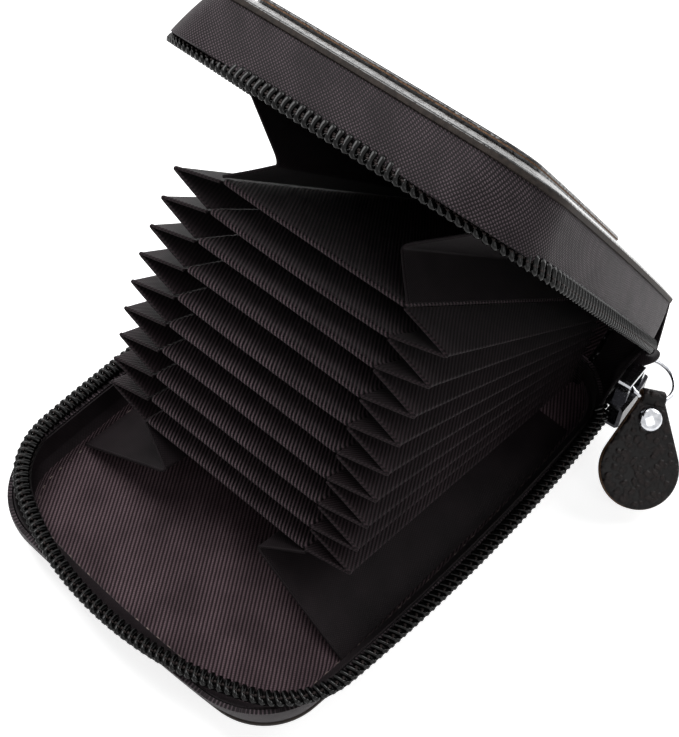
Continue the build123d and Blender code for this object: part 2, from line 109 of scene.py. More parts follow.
def alongArcs(arcs, distance):
    # Point and outward normal at each distance from the outline's rear right
    starts = np.concatenate([[0.0], np.cumsum(arcLengths(arcs))[:-1]])
    index = np.clip(np.searchsorted(starts, distance, side="right") - 1, 0, len(arcs) - 1)
    turn = arcs[index, 3] - (distance - starts[index]) / arcs[index, 2]
    normal = np.stack([np.cos(turn), np.sin(turn)], -1)
    return arcs[index, :2] + arcs[index, 2, None] * normal, normal


def panelArcs(inset):
    corner = shell["corner"] - inset
    length = shell["halfLength"] - inset
    return rimArcs(shell["halfWidth"] - inset, length, length, (corner, corner), shell["sideBow"],
                   shell["endBow"])


def bandArcs(level):
    # The wall's outline at a share of its height: it leans out, most at the rim, and further at the front
    flare = -0.3 + 3.3 * level - 1.0 * level ** 2
    shift = 1.1 * level
    corner = shell["corner"] + flare + shift
    return rimArcs(shell["halfWidth"] + flare, shell["halfLength"] + flare + shift,
                   shell["halfLength"] + flare - 0.3 - 2 * shift, (corner, corner), shell["sideBow"],
                   shell["endBow"])


def coilArcs():
    return rimArcs(*[rim[key] for key in ("halfWidth", "front", "rear", "corners", "sideBow", "endBow")])


def rimSpan(arcs, gap, backLimit=99.0):
    # First and last distance along an outline that lie clear of the doorway at the spine
    distance = np.linspace(0, arcLengths(arcs)[:-1].sum(), 4000)
    spot = alongArcs(arcs, distance)[0]
    clear = distance[(np.abs(spot[:, 0]) >= gap) & (spot[:, 1] <= backLimit)]
    return clear[0], clear[-1]


def roundRim(arcs, columns, gap, backLimit=99.0):
    # Even distances between both sides of the doorway, with their points and normals
    around = np.linspace(*rimSpan(arcs, gap, backLimit), columns)
    return around, *alongArcs(arcs, around)


def openCover(points):
    # Mirrors a base shape about the case's middle height, then swings it open about the fold
    turn = math.radians(shell["openAngle"])
    x, y, z = np.moveaxis(np.asarray(points, float), -1, 0)
    y, z = y - shell["foldY"], shell["height"] - z - shell["foldZ"]
    return np.stack([x, shell["foldY"] + y * math.cos(turn) + z * math.sin(turn),
                     shell["foldZ"] - y * math.sin(turn) + z * math.cos(turn)], -1)


def asBuilt(points):
    return points


trays = (("base", asBuilt), ("cover", openCover))
sides = ((-1, "Left"), (1, "Right"))
weld = 0.004 * mm


def makePiece(name, grids, materials, body=None, nodes=(), sharp=40):
    # Each grid is points on rows and columns, their flat UV in millimetres and a material index.
    # Points that meet are welded, so seams and poles close.
    verts, faces, flat, marks, first = [], [], [], [], 0
    for points, uv, mark in grids:
        rows, columns = points.shape[:2]
        corner = first + np.arange(rows * columns).reshape(rows, columns)
        quads = np.stack([corner[:-1, :-1], corner[:-1, 1:], corner[1:, 1:], corner[1:, :-1]], -1)
        verts.append(points.reshape(-1, 3) * mm)
        flat.append(uv.reshape(-1, 2))
        faces.append(quads.reshape(-1, 4))
        marks.append(np.full(len(faces[-1]), mark))
        first += rows * columns
    verts, flat = np.concatenate(verts), np.concatenate(flat)
    faces, marks = np.concatenate(faces), np.concatenate(marks)
    mesh = bpy.data.meshes.new(name)
    mesh.from_pydata(verts.tolist(), [], faces.tolist())
    layer = mesh.uv_layers.new(name="UVMap")
    layer.data.foreach_set("uv", flat[faces.reshape(-1)].astype(np.float32).reshape(-1))
    mesh.polygons.foreach_set("material_index", marks.astype(np.int32))
    shape = bmesh.new()
    shape.from_mesh(mesh)
    bmesh.ops.remove_doubles(shape, verts=shape.verts, dist=weld)
    bmesh.ops.dissolve_degenerate(shape, edges=shape.edges, dist=weld / 2)
    bmesh.ops.recalc_face_normals(shape, faces=shape.faces)
    shape.to_mesh(mesh)
    shape.free()
    for material in materials:
        mesh.materials.append(material)
    piece = addObject(name, mesh)
    smooth(piece, sharp)
    if nodes:
        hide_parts(*nodes)
    if body:
        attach(piece, body)
    return piece


def smooth(piece, sharp):
    piece.data.shade_smooth()
    piece.data.set_sharp_from_angle(angle=math.radians(sharp))


def thicken(piece, thickness, sharp=40):
    # A sheet gets its thickness, half to each side
    modifier = piece.modifiers.new("thickness", "SOLIDIFY")
    modifier.thickness = thickness * mm
    modifier.offset = 0
    modifier.use_even_offset = True
    whole = bpy.data.meshes.new_from_object(piece.evaluated_get(bpy.context.evaluated_depsgraph_get()))
    piece.modifiers.clear()
    piece.data = whole
    smooth(piece, sharp)


def fullTurn(steps):
    return np.linspace(0, 2 * math.pi, steps + 1)


def planar(points, first=0, second=1):
    return np.stack([points[..., first], points[..., second]], -1)


def together(*parts):
    # One grid from its coordinates, each spread to the grid's size
    return np.stack(np.broadcast_arrays(*parts), -1)


def skins(place, points, marks):
    # One grid to each pair of neighbouring rows, each with its own material
    return [(place(points[i:i + 2]), planar(points[i:i + 2]), mark) for i, mark in enumerate(marks)]


def unit(rows):
    return rows / np.linalg.norm(rows, axis=1, keepdims=True)


def runAlong(path):
    # Distance along a path at each of its points
    return np.concatenate([[0], np.cumsum(np.linalg.norm(np.diff(path, axis=0), axis=1))])


def atHeight(spot, height):
    # Plan points with a height added, one for all or one to each
    return np.column_stack([spot, np.broadcast_to(height, len(spot))])


def tube(path, radius, sides=8):
    # A round section carried along a path and closed at its ends. A fixed guide keeps it from twisting.
    ahead = unit(np.gradient(path, axis=0))
    guide = np.array([0.0, 0.0, 1.0]) if abs(ahead[:, 2]).mean() < 0.8 else np.array([1.0, 0.0, 0.0])
    side = unit(np.cross(ahead, guide))
    lift = np.cross(side, ahead)
    turn = fullTurn(sides)
    radius = np.broadcast_to(np.asarray(radius, float), len(path))[:, None, None]
    ring = np.cos(turn)[None, :, None] * side[:, None] + np.sin(turn)[None, :, None] * lift[:, None]
    centre = np.repeat(path[[0, -1]][:, None], sides + 1, 1)
    points = np.concatenate([centre[:1], path[:, None] + radius * ring, centre[1:]])
    return points, together(runAlong(points[:, 0])[:, None], turn * radius.mean())


def seam(name, place, centres, normal, lift, size, thread, body):
    # A row of stitches along an outline: each is a six-sided ball, stretched along the seam
    long, wide, high = np.array(size) / 2
    ahead = atHeight(np.column_stack([normal[:, 1], -normal[:, 0]]), 0.0)
    turn = fullTurn(6)[None, :, None]
    rise = np.linspace(-math.pi / 2, math.pi / 2, 5)[:, None, None]
    grids = []
    for spot, a, b, c in zip(centres, ahead, np.cross(ahead, lift), lift):
        ball = (np.sin(rise) * long * a + np.cos(rise) * np.cos(turn) * wide * b
                + np.cos(rise) * np.sin(turn) * high * c)
        grids.append((place(spot + ball), np.zeros((5, 7, 2)), 0))
    makePiece(name, grids, [thread], body)


def linear(code):
    # sRGB hex to linear colour
    value = np.array([int(code[i:i + 2], 16) for i in (1, 3, 5)]) / 255
    value = np.where(value <= 0.04045, value / 12.92, ((value + 0.055) / 1.055) ** 2.4)
    return (*[float(v) for v in value], 1.0)


def addNode(tree, kind, links=None, **settings):
    # One node with its settings. A link may be a plain value, an output, or a node for its first output.
    node = tree.nodes.new("ShaderNode" + kind)
    for key, value in settings.items():
        setattr(node, key, value)
    for key, value in (links or {}).items():
        socket = node.inputs[key]
        if isinstance(value, bpy.types.Node):
            value = value.outputs[0]
        if isinstance(value, bpy.types.NodeSocket):
            tree.links.new(value, socket)
        else:
            socket.default_value = value
    return node


def startMaterial(name, **sockets):
    # A new material with its surface shader. Socket names are given with underscores for spaces.
    material = bpy.data.materials.new(name)
    material.use_nodes = True
    tree = material.node_tree
    shader = tree.nodes["Principled BSDF"]
    for key, value in sockets.items():
        shader.inputs[key.replace("_", " ")].default_value = value
    return material, tree, shader


def ramp(tree, factor, low, high, colours):
    # Two colours that change over between two values of a factor
    node = addNode(tree, "ValToRGB", {"Fac": factor})
    for element, place, colour in zip(node.color_ramp.elements, (low, high), colours):
        element.position = place
        element.color = linear(colour)
    return node.outputs["Color"]


def joinBump(tree, shader, height, depth, under=None):
    links = {"Height": height, "Distance": depth * mm, "Strength": 1.0}
    if under:
        links["Normal"] = under
    bump = addNode(tree, "Bump", links)
    tree.links.new(bump.outputs["Normal"], shader.inputs["Normal"])
    return bump.outputs["Normal"]


def joinRough(tree, shader, factor, low, high):
    # Roughness between two values, where a factor passes through its middle range
    rough = addNode(tree, "MapRange", {"Value": factor, "From Min": 0.3, "From Max": 0.7, "To Min": low,
                                       "To Max": high})
    tree.links.new(rough.outputs[0], shader.inputs["Roughness"])


def noise(tree, place, scale, detail):
    return addNode(tree, "TexNoise", {"Vector": place, "Scale": scale, "Detail": detail})


def stripes(tree, place, direction, width, distortion, detail=1.0, detailScale=1.0):
    # Soft bands, one to each width in millimetres
    wave = addNode(tree, "TexWave", {"Vector": place, "Scale": math.pi / 10 / width,
                                     "Distortion": distortion, "Detail": detail,
                                     "Detail Scale": detailScale}, bands_direction=direction)
    return wave.outputs["Fac"]


def shade(tree, colour, amount, factor, low, high, dark):
    # A colour made darker where a factor is low
    tint = ramp(tree, factor, low, high, (dark, "#ffffff"))
    return addNode(tree, "MixRGB", {"Fac": amount, "Color1": colour, "Color2": tint}, blend_type="MULTIPLY")


def leatherFinish(name, **look):
    # Pigmented split leather, plated with a pebble grain: round pebbles, sunk creases, a satin top coat. The
    # creases are painted darker than the crowns, as painted shade.
    material, tree, shader = startMaterial(name, Specular_IOR_Level=look["specular"], IOR=1.5)
    place = addNode(tree, "TexCoord").outputs["Object"]
    scale = 1000 / look["pebble"]
    drift = noise(tree, place, scale * 0.6, 2.0)
    moved = addNode(tree, "MixRGB", {"Fac": 0.0006 * look["pebble"], "Color1": place,
                                     "Color2": drift.outputs["Color"]}, blend_type="LINEAR_LIGHT")
    cells = addNode(tree, "TexVoronoi", {"Vector": moved, "Scale": scale, "Smoothness": 0.35},
                    feature="SMOOTH_F1")
    pebble = addNode(tree, "MapRange", {"Value": cells, "From Min": 0.15, "From Max": 0.75, "To Min": 1.0,
                                        "To Max": 0.0}, interpolation_type="SMOOTHSTEP")
    # Painted shade: the colour runs from the crown of each pebble down to the darker crease colour
    colour = ramp(tree, pebble, 0.1, 0.9, (look["crease"], look["crown"]))
    tree.links.new(colour, shader.inputs["Base Color"])
    joinRough(tree, shader, noise(tree, place, 90.0, 4.0), look["rough"] - 0.06, look["rough"] + 0.08)
    fine = joinBump(tree, shader, noise(tree, place, 5200.0, 3.0), 0.02)
    joinBump(tree, shader, pebble, look["depth"], fine)
    return material


def startCloth(name, look, **sockets):
    # A cloth's material with its flat UV, plain and turned to the yarn
    material, tree, shader = startMaterial(name, Roughness=look["rough"], **sockets)
    flat = addNode(tree, "TexCoord").outputs["UV"]
    turned = addNode(tree, "Mapping", {"Vector": flat, "Rotation": (0, 0, math.radians(look["turn"]))})
    return material, tree, shader, flat, turned


def twillFinish(name, **look):
    # Polyester twill: raised diagonal ribs of glossy yarn, dull when seen along them. The furrows between
    # ribs and the gaps between yarns are painted dark as shade.
    material, tree, shader, flat, turned = startCloth(name, look, Sheen_Weight=look["sheen"],
                                                      Sheen_Roughness=0.4, Specular_IOR_Level=0.08)
    rib = stripes(tree, turned, "X", look["rib"], 0.35, 2.0, 1.6)
    yarn = stripes(tree, turned, "Y", look["yarn"], 0.6)
    # Painted shade: the furrows take the dark colour, and the yarn bands darken the gaps between yarns
    cloth = ramp(tree, rib, look["furrow"], look["crest"], look["colours"])
    shaded = shade(tree, cloth, 0.5, yarn, 0.1, 0.7, "#8c8c8c")
    cloudy = shade(tree, shaded, 0.55, noise(tree, flat, 0.12, 2.0), 0.35, 0.65, "#9a9698")
    mottled = shade(tree, cloudy, 0.4, noise(tree, flat, 3.0, 4.0), 0.3, 0.7, "#9c9c9c")
    tree.links.new(mottled.outputs[0], shader.inputs["Base Color"])
    height = addNode(tree, "Math", {0: yarn, 1: 0.3, 2: rib}, operation="MULTIPLY_ADD")
    joinBump(tree, shader, height, look["depth"])
    return material


def oxfordFinish(name, **look):
    # Oxford nylon: a plain weave of round yarns. Each yarn's cushion is painted bright as lit, and the
    # corners between yarns painted dark as shade.
    material, tree, shader, flat, turned = startCloth(name, look, Sheen_Weight=0.04, Sheen_Roughness=0.35,
                                                      Specular_IOR_Level=0.1)
    warp, weft = [stripes(tree, turned, direction, look["yarn"], 0.4) for direction in ("X", "Y")]
    cushion = addNode(tree, "Math", {0: warp, 1: weft}, operation="MULTIPLY")
    # Painted light and shade: dark in the corners between yarns, bright on each yarn's cushion
    cloth = ramp(tree, cushion, 0.05, 0.75, look["colours"])
    cloudy = shade(tree, cloth, 0.6, noise(tree, flat, 0.15, 3.0), 0.35, 0.65, "#8e8a8c")
    tree.links.new(cloudy.outputs[0], shader.inputs["Base Color"])
    joinBump(tree, shader, cushion, look["depth"])
    return material


def grainFinish(name, grain, colours, rough, depth, **sockets):
    # A plain body colour broken up by grain: two tones in patches, and a fine bump
    material, tree, shader = startMaterial(name, **sockets)
    patches = noise(tree, addNode(tree, "TexCoord").outputs["Object"], 1000 / grain, 4.0)
    tree.links.new(ramp(tree, patches, 0.3, 0.7, colours), shader.inputs["Base Color"])
    joinRough(tree, shader, patches, *rough)
    joinBump(tree, shader, patches, depth)
    return material


# Leather of the case's shell, and the coarser one of the pull, each with painted shade in its creases
pebbledLeather = leatherFinish("pebbledLeather", pebble=1.1, depth=0.07, crease="#060505", crown="#100e0f",
                               rough=0.17, specular=0.45)
pullLeather = leatherFinish("pullLeather", pebble=1.35, depth=0.28, crease="#040202", crown="#150d0c",
                            rough=0.42, specular=0.16)
# Polyester twill of the tray linings, of the card dividers and of the thin webs between them, all with
# painted shade in the furrows
twillLining = twillFinish("twillLining", rib=0.71, yarn=0.4, turn=-33.0, depth=0.12, rough=0.62, sheen=0.06,
                          furrow=0.2, crest=0.8, colours=("#2a2023", "#705d63"))
twillDivider = twillFinish("twillDivider", rib=0.66, yarn=0.4, turn=30.0, depth=0.14, rough=0.6, sheen=0.05,
                           furrow=0.3, crest=0.95, colours=("#030203", "#6e5d63"))
# Painted shade: the webs' twill is a darker copy, for the shade between the dividers
shadedTwillWeb = twillFinish("shadedTwillWeb", rib=0.68, yarn=0.4, turn=30.0, depth=0.05, rough=0.6, sheen=0.05,
                       furrow=0.2, crest=0.9, colours=("#161113", "#3a2f33"))
# Plain weaves: taffeta of the gussets, oxford nylon of the side walls and the zip's tape, each with painted
# light on the yarns and painted shade between them
# Painted shade: this taffeta also dresses the linings' turned-up walls, darker than their twill floor
taffetaAndWallShade = oxfordFinish("taffetaAndWallShade", yarn=0.36, turn=30.0, depth=0.03, rough=0.6,
                            colours=("#120e10", "#2a2225"))
oxfordBand = oxfordFinish("oxfordBand", yarn=0.5, turn=42.0, depth=0.07, rough=0.58,
                          colours=("#130f11", "#564b50"))
knitTape = oxfordFinish("knitTape", yarn=0.5, turn=0.0, depth=0.1, rough=0.7, colours=("#0a0909", "#1d1a1b"))
# Nylon: the zip's drawn coil and two sewing threads
nylonCoil = grainFinish("nylonCoil", 0.8, ("#040404", "#090909"), (0.12, 0.2), 0.01, Specular_IOR_Level=0.2,
                        IOR=1.5)
nylonThread = grainFinish("nylonThread", 0.25, ("#14100f", "#2e2625"), (0.5, 0.65), 0.03,
                          Specular_IOR_Level=0.15)
seamThread = grainFinish("seamThread", 3.0, ("#120e0f", "#8d7f79"), (0.5, 0.65), 0.02, Specular_IOR_Level=0.2)
# Leather's painted and raw edges, grey bookbinder's board, bright nickel and dark gunmetal plating
paintedEdge = grainFinish("paintedEdge", 0.9, ("#1d1917", "#3d3632"), (0.6, 0.75), 0.05,
                          Specular_IOR_Level=0.15)
cutEdge = grainFinish("cutEdge", 0.4, ("#3d291f", "#80634b"), (0.7, 0.85), 0.05, Specular_IOR_Level=0.25)
greyBoard = grainFinish("greyBoard", 0.5, ("#6d6962", "#8a857b"), (0.85, 0.95), 0.03, Specular_IOR_Level=0.2)
nickelPlate = grainFinish("nickelPlate", 0.9, ("#b9bbc0", "#d5d6da"), (0.08, 0.2), 0.004, Metallic=1.0)
gunmetalSlider = grainFinish("gunmetalSlider", 0.7, ("#2b2b2e", "#3f3f43"), (0.2, 0.34), 0.006, Metallic=1.0)
print("materials made")

# Leather panels: plane skins with an eased rim and a straight rear edge at the spine
panel = {"round": 0.5, "columns": 300, "rim": 7.0, "rimDrop": 0.25, "coverSwell": 1.0}


def discRings(arcsOf, rings, rearEdge, columns):
    # A closed skin from rings of (share of the outline, inset, height). Points behind the rear edge
    # are brought to it, and a share of zero is the pole in the middle.
    grid = []
    for share, inset, height in rings:
        arcs = arcsOf(inset)
        spot = alongArcs(arcs, np.linspace(0, arcLengths(arcs).sum(), columns))[0]
        spot[:, 1] = np.minimum(spot[:, 1], rearEdge - inset)
        spot[-1] = spot[0]
        grid.append(np.concatenate([spot * share, np.full((columns, 1), height)], -1))
    return np.array(grid)


def leatherPanel(tray, place, swell):
    # The outer face is soft: it falls away towards the rim by a square law and stands out in the middle
    edge, thick, wide = panel["round"], shell["leather"], panel["rim"]
    outer = [(inset, (swell + panel["rimDrop"]) * (1 - inset / wide) ** 2 - swell)
             for inset in (7, 6, 5, 4, 3, 2, 1.2, edge)]
    low = outer[-1][1]
    rings = [(0, wide, -swell), (0.5, wide, -swell)] + [(1, *spot) for spot in outer]
    rings += [(1, edge * 0.4, low + 0.06), (1, 0.05, low + 0.2), (1, 0, low + 0.34),
              (1, 0, thick - edge * 0.4), (1, edge * 0.3, thick - 0.08), (1, edge, thick), (1, 3, thick),
              (0.5, 4, thick), (0, 4, thick)]
    points = discRings(panelArcs, rings, shell["rearEdge"], panel["columns"])
    grids = []
    for first, last, mark in ((0, 12, 0), (12, 15, 1), (15, len(rings) - 1, 0)):
        skin = points[first:last + 1]
        grids.append((place(skin), planar(skin) + (skin[..., 2:] if mark else 0), mark))
    makePiece(f"{tray}Leather", grids, [pebbledLeather, paintedEdge], tray,
              [f"leather_{tray}"])


for (tray, place), swell in zip(trays, (0.0, panel["coverSwell"])):
    leatherPanel(tray, place, swell)

# Spine: a strip of the same leather round the back, from a rolled foot on the fold to the cover's edge
spine = {"thick": 1.4, "rows": 40, "roundTop": 0.9, "pinch": 0.3}


def spineStrip():
    # Upright strip in the shut case. Its section is a loop up the outer face and down the inner one,
    # drawn together at both ends.
    high, fold, half, rows = shell["height"], shell["foldY"], shell["spineHalf"], spine["rows"]
    r, turned = spine["thick"] / 2, spine["roundTop"]
    swing = np.linspace(-1.5, 1.5, 9)
    foot = np.stack([fold + r * np.sin(swing), shell["foldZ"] - r * np.cos(swing)], -1)
    outer = together(fold + r, np.linspace(0.9, high - 1.2, rows))
    bend = np.linspace(0, math.pi / 2, 6)
    top = np.stack([fold + r - turned + turned * np.cos(bend), high - turned + turned * np.sin(bend)], -1)
    inner = together(fold - r, np.linspace(high, 0.8, rows))
    loop = np.concatenate([foot, outer, top, inner, foot[:1]])
    x = np.concatenate([[-half, -half + 0.02], np.linspace(-half + 0.3, half - 0.3, 30), [half - 0.02, half]])
    pinch = np.clip((half - np.abs(x)) / spine["pinch"], 0, 1)[:, None] ** 0.5
    z = high / 2 + (loop[:, 1] - high / 2) * (1 - (1 - pinch) * 0.02)
    return together(x[:, None], fold + (loop[:, 0] - fold) * pinch, high - z)


spineGrid = spineStrip()
spinePiece = makePiece("spineLeather", [(openCover(spineGrid), planar(spineGrid, 0, 2), 0)], [pebbledLeather],
                       None, ["leather_spine"])
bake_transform(spinePiece)
print("leather shell made")

# Linings: twill trays, a flat floor turned up the wall as far as the tape. The turned-up wall wears the
# darker taffeta as painted shade.
lining = {"columns": 420, "inset": 1.6, "foot": 2.4, "high": 10.25, "thick": 0.3, "wallRows": 10,
          "floorRows": (0, 0.3, 0.6, 0.85), "footRows": 6, "doorColumns": 30,
          "doorway": shell["spineHalf"] + 0.8}


def liningTray(tray, place):
    # Rings from the floor's middle out to the turned-up wall. At the doorway the wall has no height.
    floorArcs = panelArcs(lining["inset"])
    foot, normal = roundRim(floorArcs, lining["columns"], lining["doorway"])[1:]
    foot[:, 1] = np.minimum(foot[:, 1], shell["rearEdge"] - 1.8)
    z, bend = shell["floor"] + 0.1, lining["foot"]
    rows, flats = [], []
    for share in lining["floorRows"]:
        flats.append((foot - normal * bend) * share)
        rows.append(atHeight(flats[-1], z))
    for turn in np.linspace(0, math.pi / 2, lining["footRows"]):
        rows.append(atHeight(foot - normal * bend * (1 - math.sin(turn)), z + bend * (1 - math.cos(turn))))
        flats.append(foot - normal * bend * (1 - turn))
    low = (z + bend - shell["leather"]) / shell["wall"]
    for share in np.linspace(0.15, 1, lining["wallRows"]):
        spot, way = roundRim(bandArcs(low + (0.98 - low) * share), lining["columns"], lining["doorway"])[1:]
        spot = spot - way * 1.15
        height = z + bend + (lining["high"] - z - bend) * share
        rows.append(atHeight(spot, height))
        flats.append(spot + way * (bend * 0.57 + height - z - bend))
    points, uv, turnedUp = np.array(rows), np.array(flats), len(lining["floorRows"]) + lining["footRows"]
    # The doorway's strip of floor, from the middle back to the spine
    back = together(np.linspace(foot[0, 0], foot[-1, 0], lining["doorColumns"]), foot[:, 1].max())
    door = np.array([atHeight(back * share, z) for share in (*lining["floorRows"], 1)])
    # Painted shade: the turned-up wall takes the darker taffeta, the floor and doorway the twill
    grids = [(place(points[:turnedUp]), uv[:turnedUp], 0),
             (place(points[turnedUp - 1:]), uv[turnedUp - 1:], 1), (place(door), planar(door), 0)]
    piece = makePiece(f"{tray}Lining", grids, [twillLining, taffetaAndWallShade], None,
                      [f"lining_{tray}"], sharp=60)
    # Stitches along the floor's edge, clear of both its ends
    spot, normal = alongArcs(floorArcs, np.arange(12, arcLengths(floorArcs)[:-1].sum() - 12, 2.7))
    seam(f"{tray}LiningStitch", place, atHeight(spot - normal * 0.75, z + 0.95), normal,
         atHeight(-normal * 0.7, 0.714), (0.9, 0.28, 0.24), seamThread, tray)
    thicken(piece, lining["thick"], 60)
    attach(piece, tray)


for tray, place in trays:
    liningTray(tray, place)
print("linings made")

# Side walls: woven bands that lean out from the leather to the tape, with slack waves in the cloth
band = {"columns": 460, "rows": 16, "thick": 0.8, "wave": 0.1, "pitches": (0.11, 0.19, 0.31), "bulge": 1.3,
        "bulgeAt": (-33.0, -46.0), "bulgeWide": 15.0, "reach": shell["spineHalf"] + 0.2,
        "doorway": shell["spineHalf"] + 0.3, "endColumns": 7}


def wallBand(tray, place, seed):
    # The cloth's slack is the mean of three sines along the wall, each with its own start:
    # sin(distance * pitch + start + 2 * level), fullest halfway up. The base has one bulge as well.
    starts = np.random.default_rng(seed).uniform(0, 2 * math.pi, len(band["pitches"]))
    rows, flats = [], []
    for level in np.linspace(0, 1, band["rows"]):
        around, spot, normal = roundRim(bandArcs(level), band["columns"], band["reach"], shell["rearEdge"])
        slack = sum(np.sin(around * pitch + start + level * 2.0)
                    for pitch, start in zip(band["pitches"], starts)) / 3
        belly = math.sin(math.pi * level)
        off = np.linalg.norm(spot - band["bulgeAt"], axis=1) / band["bulgeWide"]
        stand = band["wave"] * slack * belly + band["bulge"] * belly * np.exp(-off ** 2) * (tray == "base")
        spot = spot + normal * (stand - band["thick"] / 2)[:, None]
        # Behind each corner the wall runs on straight to the doorway
        right, left = [together(np.linspace(math.copysign(band["doorway"], x), x, band["endColumns"]), y)
                       for x, y in spot[[0, -1]]]
        spot = np.concatenate([right[:-1], spot, left[-2::-1]])
        rows.append(atHeight(spot, shell["leather"] + shell["wall"] * level))
        flats.append(atHeight(runAlong(spot), 9.6 * level))
    piece = makePiece(f"{tray}Band", [(place(np.array(rows)), np.array(flats), 0)], [oxfordBand], None,
                      [f"band_{tray}"], sharp=60)
    thicken(piece, band["thick"], 50)
    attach(piece, tray)


for (tray, place), seed in zip(trays, (3, 5)):
    wallBand(tray, place, seed)
print("side walls made")

# Zip: a woven tape with a coil sewn on it. On the base the tape lies out flat with the coil on top. On the
# cover it hangs on down from the wall with the coil outside, so the heads point at the base.
# Places in the zip's section are along the tape and off its face.
zipRow = {"pitch": 1.5, "middle": -0.25, "reach": 1.15, "lift": 0.3, "wire": 0.48, "fat": 0.36, "steps": 12,
          "sides": 6, "cordWire": 0.34, "cordPlace": -0.4, "tape": (-2.3, 0.5), "tapeOff": -0.88,
          "tapeThick": 0.42, "columns": 460, "rows": 9,
          "base": {"lean": 16.0, "place": (-0.35, 11.4), "face": 1},
          "cover": {"lean": 62.0, "place": (0.15, 10.86), "face": -1}}


def zipAxes(tray):
    lean, face = math.radians(zipRow[tray]["lean"]), zipRow[tray]["face"]
    return (math.cos(lean), math.sin(lean)), (-face * math.sin(lean), face * math.cos(lean))


def onZip(tray, spot, normal, along, off):
    ahead, away = zipAxes(tray)
    out, rise = [np.broadcast_to(zipRow[tray]["place"][i] + along * ahead[i] + off * away[i], len(spot))
                 for i in (0, 1)]
    return np.column_stack([spot + normal * out[:, None], rise])


def rimStretch(tray):
    # The cover's coil and tape are cut back beside the parked slider
    first, last = rimSpan(coilArcs(), rim["gap"], shell["rearEdge"])
    if tray == "cover":
        distance = np.linspace(first, last, 4000)
        spot = alongArcs(coilArcs(), distance)[0]
        first = distance[(spot[:, 1] < rim["cutY"]) | (spot[:, 0] < 0)][0]
    return first, last


def tapeStrip(tray, place):
    # The tape reaches from its edge sewn on the wall to just short of the coil's heads
    first, last = rimStretch(tray)
    around, across = np.linspace(first, last, zipRow["columns"]), np.linspace(*zipRow["tape"], zipRow["rows"])
    spot, normal = alongArcs(coilArcs(), around)
    grid = np.array([onZip(tray, spot, normal, along, zipRow["tapeOff"]) for along in across])
    piece = makePiece(f"{tray}Tape", [(place(grid), together(around, across[:, None]), 0)], [knitTape], None,
                      [f"tape_{tray}"], sharp=60)
    thicken(piece, zipRow["tapeThick"], 50)
    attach(piece, tray)
    # Two rows of lockstitch along the tape, one on the wall and one over the coil's legs
    away = zipAxes(tray)[1]
    for row, along, off, pitch, size in (("Wall", -1.9, -0.66, 1.9, (1.2, 0.3, 0.22)),
                                         ("Legs", 0.25, 0.62, 1.5, (0.8, 0.42, 0.42))):
        spot, normal = alongArcs(coilArcs(), np.arange(first + 1, last - 1, pitch))
        seam(f"{tray}TapeStitch{row}", place, onZip(tray, spot, normal, along, off), normal,
             atHeight(normal * away[0], away[1]), size, nylonThread, tray)


def coilRow(tray, place):
    # A flattened helix, once round to each pitch: along the tape it runs as middle + reach * cos(turn)^0.75
    # and off the tape as lift * sin(turn)^0.6, both with their signs kept
    first, last = rimStretch(tray)
    count = int((last - first) / zipRow["pitch"])
    turn = np.linspace(0, 2 * math.pi * count, count * zipRow["steps"] + 1)
    around = first + 0.4 + turn / (2 * math.pi) * (last - first - 0.8) / count
    spot, normal = alongArcs(coilArcs(), around)
    swing, rise = np.cos(turn), np.sin(turn)
    along = zipRow["middle"] + zipRow["reach"] * np.sign(swing) * np.abs(swing) ** 0.75
    off = zipRow["lift"] * np.sign(rise) * np.abs(rise) ** 0.6
    ahead = np.stack([normal[:, 1], -normal[:, 0]], -1)
    centre = onZip(tray, spot + ahead * 0.2 * rise[:, None], normal, along, off)
    # The legs are pressed fat where they turn under the tape's sewing, and the heads stay thin
    pressed = np.clip(rise + 0.35, 0, 1) ** 0.5 * (0.5 - 0.5 * np.tanh((swing + 0.1) * 2.2))
    points, uv = tube(centre, zipRow["wire"] * (1 + zipRow["fat"] * pressed), zipRow["sides"])
    cord = onZip(tray, *alongArcs(coilArcs(), np.linspace(first, last, 400)), zipRow["cordPlace"], 0.0)
    core, coreUv = tube(cord, zipRow["cordWire"], zipRow["sides"])
    makePiece(f"{tray}Coil", [(place(points), uv, 0), (place(core), coreUv, 1)], [nylonCoil, nylonThread],
              tray, [f"coil_{tray}"], sharp=80)


for tray, place in trays:
    tapeStrip(tray, place)
    coilRow(tray, place)
print("zip made")

# Card pockets: cloth-covered dividers with a soft hem along the front edge
divider = {"hem": 0.14, "hemLength": 1.6, "hemEase": 0.6, "corner": 1.1, "columns": 44, "sag": 0.35,
           "edge": (0, 0.05, 0.16, 0.3, 0.5), "round": 0.3}


def dividerPlaces():
    # Rear edge (y, z) and slope of each divider, from the lowest up
    room = shell["height"] - 2 * (shell["floor"] + stack["clearance"])
    step = room / (stack["count"] - 1)
    fan = (shell["openAngle"] - 2 * stack["linkAngle"]) / (stack["count"] - 1)
    slope = np.radians(stack["linkAngle"] + fan * np.arange(stack["count"]))
    y = stack["rearY"] + step * np.concatenate([[0], np.cumsum(np.sin(slope[:-1]))])
    z = stack["lowZ"] + step * np.concatenate([[0], np.cumsum(np.cos(slope[:-1]))])
    return np.stack([y, z, slope], -1)


dividers = dividerPlaces()


def leaned(place, x, deep, high):
    # From a divider's own plane (across, depth forward, height) to the case
    y, z, slope = place
    return np.stack([x, y - deep * math.cos(slope) + high * math.sin(slope),
                     z + deep * math.sin(slope) + high * math.cos(slope)], -1)


